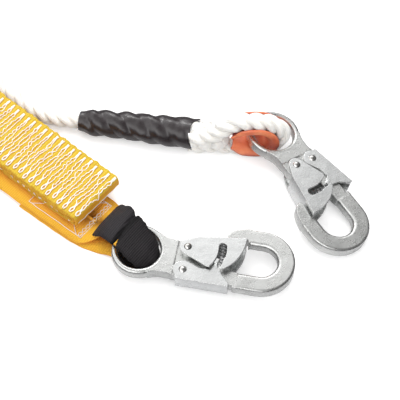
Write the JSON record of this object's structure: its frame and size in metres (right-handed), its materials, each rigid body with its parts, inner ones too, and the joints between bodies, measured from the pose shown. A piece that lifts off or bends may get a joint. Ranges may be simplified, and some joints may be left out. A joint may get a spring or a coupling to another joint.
{
  "type": "shock absorbing lanyard",
  "caption": "Fall-arrest lanyard: stitched webbing energy absorber and spliced three-strand rope, with a self-locking snap hook at each end.",
  "frame": {"origin": "centre of the harness hook's bowl, at mid thickness", "axes": "+X along the harness hook from its eye to its bowl, +Z square to the flat of that hook, which lies level"},
  "size_m": [0.5845, 0.2987, 0.0423],
  "materials": {
    "zinc_steel": "zinc-plated forging, satin with bright edges",
    "sheet_steel": "zinc-plated pressed sheet, smooth satin",
    "spring_steel": "bright spring wire",
    "yellow_webbing": "ribbed polyester webbing",
    "white_thread": "thick twisted thread",
    "black_webbing": "fine ribbed webbing",
    "white_rope": "three-strand laid rope",
    "orange_plastic": "moulded, slightly glossy",
    "black_shrink": "heat-shrunk, glossy"
  },
  "bodies": {
    "absorber": {"load_strap": "yellow_webbing", "load_strap_tail": "yellow_webbing", "tear_webbing": "yellow_webbing", "tear_stitching": "white_thread", "box_stitching": "white_thread"},
    "harness_loop": {"harness_loop_webbing": "yellow_webbing", "wear_sleeve": "black_webbing"},
    "harness_hook": {"harness_hook_body": "zinc_steel", "harness_hook_gate_rivet": "zinc_steel", "harness_hook_lever_rivet": "zinc_steel", "harness_hook_gate_spacers": "sheet_steel", "harness_hook_gate_spring": "spring_steel", "harness_hook_lever_spring": "spring_steel"},
    "harness_gate": {"harness_hook_gate": "sheet_steel"},
    "harness_lever": {"harness_hook_lock_lever": "sheet_steel"},
    "absorber_rope_end": {"rope_absorber_part": "white_rope", "absorber_thimble": "orange_plastic", "absorber_heat_shrink": "black_shrink"},
    "rope_middle": {"rope_middle_part": "white_rope"},
    "anchor_rope_end": {"rope_anchor_part": "white_rope", "anchor_thimble": "orange_plastic", "anchor_heat_shrink": "black_shrink"},
    "anchor_hook": {"anchor_hook_body": "zinc_steel", "anchor_hook_gate_rivet": "zinc_steel", "anchor_hook_lever_rivet": "zinc_steel", "anchor_hook_gate_spacers": "sheet_steel", "anchor_hook_gate_spring": "spring_steel", "anchor_hook_lever_spring": "spring_steel"},
    "anchor_gate": {"anchor_hook_gate": "sheet_steel"},
    "anchor_lever": {"anchor_hook_lock_lever": "sheet_steel"}
  },
  "joints": [
    {"name": "harness_loop_flex", "type": "hinge", "parent": "absorber", "child": "harness_loop", "pos_m": [-0.12137, 0.01411, -0.00895], "axis": [-0.4563, -0.8898, 0], "range_deg": [-45, 60]},
    {"name": "harness_hook_swing", "type": "hinge", "parent": "harness_loop", "child": "harness_hook", "pos_m": [-0.087, -0.0062, 0], "axis": [0, 0, 1], "range_deg": [-90, 3]},
    {"name": "harness_gate_open", "type": "hinge", "parent": "harness_hook", "child": "harness_gate", "pos_m": [-0.0525, -0.0006, 0], "axis": [0, 0, -1], "range_deg": [0, 25], "deforming": ["harness_hook_gate_spring"]},
    {"name": "harness_lever_release", "type": "hinge", "parent": "harness_hook", "child": "harness_lever", "pos_m": [-0.053, -0.0173, 0], "axis": [0, 0, -1], "range_deg": [0, 11], "deforming": ["harness_hook_lever_spring"]},
    {"name": "absorber_rope_swing", "type": "hinge", "parent": "absorber", "child": "absorber_rope_end", "pos_m": [-0.30556, 0.10856, 0], "axis": [0, 0, 1], "range_deg": [0, 60]},
    {"name": "rope_flex_head", "type": "hinge", "parent": "absorber_rope_end", "child": "rope_middle", "pos_m": [-0.49935, 0.2441, -0.0044], "axis": [0, 0, 1], "range_deg": [0, 40]},
    {"name": "rope_flex_side", "type": "hinge", "parent": "rope_middle", "child": "anchor_rope_end", "pos_m": [-0.22856, 0.12212, -0.0044], "axis": [0, 0, 1], "range_deg": [0, 45]},
    {"name": "anchor_hook_swing", "type": "hinge", "parent": "anchor_rope_end", "child": "anchor_hook", "pos_m": [-0.00821, 0.10944, 0.0041], "axis": [0.1401, 0.0368, 0.9895], "range_deg": [-3, 150]},
    {"name": "anchor_gate_open", "type": "hinge", "parent": "anchor_hook", "child": "anchor_gate", "pos_m": [0.01213, 0.08108, 0.00227], "axis": [0.1401, 0.0368, 0.9895], "range_deg": [0, 25], "deforming": ["anchor_hook_gate_spring"]},
    {"name": "anchor_lever_press", "type": "hinge", "parent": "anchor_hook", "child": "anchor_lever", "pos_m": [0.02342, 0.09321, 0.00022], "axis": [-0.1401, -0.0368, -0.9895], "range_deg": [0, 11], "deforming": ["anchor_hook_lever_spring"]}
  ],
  "couplings": [
    {"joint": "anchor_lever_press", "follows": "anchor_gate_open", "ratio": 0.44}
  ]
}
